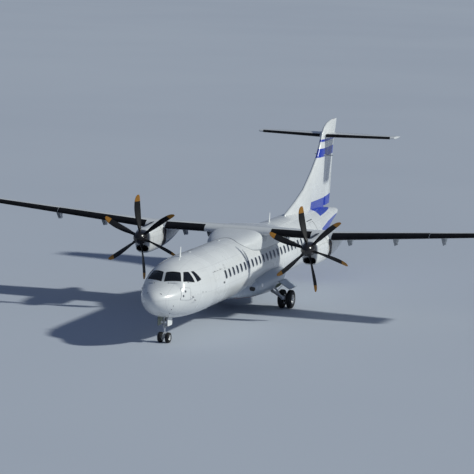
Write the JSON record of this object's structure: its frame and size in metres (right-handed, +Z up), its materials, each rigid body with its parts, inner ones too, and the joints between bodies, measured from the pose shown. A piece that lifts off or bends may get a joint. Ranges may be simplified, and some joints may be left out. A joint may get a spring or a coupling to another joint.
{
  "type": "turboprop airliner",
  "caption": "High-wing twin-turboprop regional airliner with a T-tail, six-blade propellers, droop flaps, steering nose wheels, twin main wheels and opening doors.",
  "frame": {"origin": "on the ground plane, halfway along the length and on the centre plane", "axes": "+X to port, +Y aft, +Z up"},
  "size_m": [27.05, 27.166, 7.65],
  "materials": {
    "skin_white": "gloss",
    "composite_white": "gloss",
    "belly_grey": "gloss",
    "propeller_black": "satin",
    "tyre": "matte",
    "wheel_alloy": "satin",
    "gear_steel": "satin",
    "engine_metal": "satin"
  },
  "bodies": {
    "airframe": {"radome": "composite_white", "cockpit_section": "skin_white", "forward_fuselage": "skin_white", "centre_fuselage": "skin_white", "aft_fuselage": "skin_white", "tail_section": "skin_white", "tail_cone": "composite_white", "wing_fairing": "composite_white", "belly_fairing": "belly_grey", "wing_centre": "skin_white", "fin": "composite_white", "tailplane": "composite_white", "nose_leg": "gear_steel", "wing_port": "composite_white", "nacelle_port": "composite_white", "engine_port": "engine_metal", "main_leg_port": "gear_steel", "gear_door_main_port": "belly_grey", "gear_door_nose_port": "composite_white", "wing_starboard": "composite_white", "nacelle_starboard": "composite_white", "engine_starboard": "engine_metal", "main_leg_starboard": "gear_steel", "gear_door_main_starboard": "belly_grey", "gear_door_nose_starboard": "composite_white"},
    "propeller_port": {"propeller_port": "propeller_black", "spinner_port": "propeller_black"},
    "main_wheels_port": {"tyre_main_port_inner": "tyre", "rim_main_port_inner": "wheel_alloy", "tyre_main_port_outer": "tyre", "rim_main_port_outer": "wheel_alloy"},
    "flap_inboard_port": {"flap_inboard_port": "composite_white"},
    "flap_outboard_port": {"flap_outboard_port": "composite_white"},
    "aileron_port": {"aileron_port": "composite_white"},
    "elevator_port": {"elevator_port": "composite_white"},
    "propeller_starboard": {"propeller_starboard": "propeller_black", "spinner_starboard": "propeller_black"},
    "main_wheels_starboard": {"tyre_main_starboard_inner": "tyre", "rim_main_starboard_inner": "wheel_alloy", "tyre_main_starboard_outer": "tyre", "rim_main_starboard_outer": "wheel_alloy"},
    "flap_inboard_starboard": {"flap_inboard_starboard": "composite_white"},
    "flap_outboard_starboard": {"flap_outboard_starboard": "composite_white"},
    "aileron_starboard": {"aileron_starboard": "composite_white"},
    "elevator_starboard": {"elevator_starboard": "composite_white"},
    "rudder": {"rudder": "composite_white"},
    "nose_steering": {"nose_fork": "gear_steel"},
    "nose_wheels": {"tyre_nose_port": "tyre", "rim_nose_port": "wheel_alloy", "tyre_nose_starboard": "tyre", "rim_nose_starboard": "wheel_alloy"},
    "cargo_door": {"cargo_door": "skin_white"},
    "passenger_door": {"passenger_door": "skin_white"}
  },
  "joints": [
    {"name": "propeller_port_spin", "type": "hinge", "parent": "airframe", "child": "propeller_port", "pos_m": [4.05, -4.383, 3.34], "axis": [0, 1, 0], "continuous": true},
    {"name": "main_wheels_port_roll", "type": "hinge", "parent": "airframe", "child": "main_wheels_port", "pos_m": [2.05, -1.113, 0.432], "axis": [1, 0, 0], "continuous": true},
    {"name": "flap_inboard_port_droop", "type": "hinge", "parent": "airframe", "child": "flap_inboard_port", "pos_m": [1.9, -0.73195, 3.12314], "axis": [-1, 0, 0], "range_deg": [0, 30]},
    {"name": "flap_outboard_port_droop", "type": "hinge", "parent": "airframe", "child": "flap_outboard_port", "pos_m": [5, -0.74525, 3.15697], "axis": [-0.9968, 0.0295, -0.0749], "range_deg": [0, 30]},
    {"name": "aileron_port_hinge", "type": "hinge", "parent": "airframe", "child": "aileron_port", "pos_m": [9.95, -0.8259, 3.95456], "axis": [0.9967, -0.0316, 0.0752], "range_deg": [-14, 14]},
    {"name": "elevator_port_hinge", "type": "hinge", "parent": "airframe", "child": "elevator_port", "pos_m": [0.23, 12.04754, 6.93], "axis": [0.9997, 0.0241, 0], "range_deg": [-13, 23]},
    {"name": "propeller_starboard_spin", "type": "hinge", "parent": "airframe", "child": "propeller_starboard", "pos_m": [-4.05, -4.383, 3.34], "axis": [0, 1, 0], "continuous": true},
    {"name": "main_wheels_starboard_roll", "type": "hinge", "parent": "airframe", "child": "main_wheels_starboard", "pos_m": [-2.05, -1.113, 0.432], "axis": [1, 0, 0], "continuous": true},
    {"name": "flap_inboard_starboard_droop", "type": "hinge", "parent": "airframe", "child": "flap_inboard_starboard", "pos_m": [-1.9, -0.73195, 3.12314], "axis": [-1, 0, 0], "range_deg": [0, 30]},
    {"name": "flap_outboard_starboard_droop", "type": "hinge", "parent": "airframe", "child": "flap_outboard_starboard", "pos_m": [-5, -0.74525, 3.15697], "axis": [-0.9968, -0.0295, 0.0749], "range_deg": [0, 30]},
    {"name": "aileron_starboard_hinge", "type": "hinge", "parent": "airframe", "child": "aileron_starboard", "pos_m": [-9.95, -0.8259, 3.95456], "axis": [0.9967, 0.0316, -0.0752], "range_deg": [-14, 14]},
    {"name": "elevator_starboard_hinge", "type": "hinge", "parent": "airframe", "child": "elevator_starboard", "pos_m": [-0.23, 12.04754, 6.93], "axis": [0.9997, -0.0241, 0], "range_deg": [-13, 23]},
    {"name": "rudder_hinge", "type": "hinge", "parent": "airframe", "child": "rudder", "pos_m": [0, 11.167, 3.32], "axis": [0, 0.1362, 0.9907], "range_deg": [-27, 27]},
    {"name": "nose_steering", "type": "hinge", "parent": "airframe", "child": "nose_steering", "pos_m": [0, -11.883, 0.62], "axis": [0, 0, 1], "range_deg": [-60, 60]},
    {"name": "nose_wheels_roll", "type": "hinge", "parent": "nose_steering", "child": "nose_wheels", "pos_m": [0, -11.883, 0.225], "axis": [1, 0, 0], "continuous": true},
    {"name": "cargo_door_hinge", "type": "hinge", "parent": "airframe", "child": "cargo_door", "pos_m": [1.26045, -9.358, 2.78], "axis": [-0.0005, -1, 0], "range_deg": [0, 120]},
    {"name": "passenger_door_hinge", "type": "hinge", "parent": "airframe", "child": "passenger_door", "pos_m": [1.12369, 5.617, 1.45], "axis": [-0.1871, 0.9823, 0], "range_deg": [0, 120]}
  ],
  "couplings": [
    {"joint": "flap_inboard_starboard_droop", "follows": "flap_inboard_port_droop", "ratio": 1},
    {"joint": "flap_outboard_port_droop", "follows": "flap_inboard_port_droop", "ratio": 1},
    {"joint": "flap_outboard_starboard_droop", "follows": "flap_inboard_port_droop", "ratio": 1},
    {"joint": "aileron_starboard_hinge", "follows": "aileron_port_hinge", "ratio": -1},
    {"joint": "elevator_starboard_hinge", "follows": "elevator_port_hinge", "ratio": 1}
  ]
}
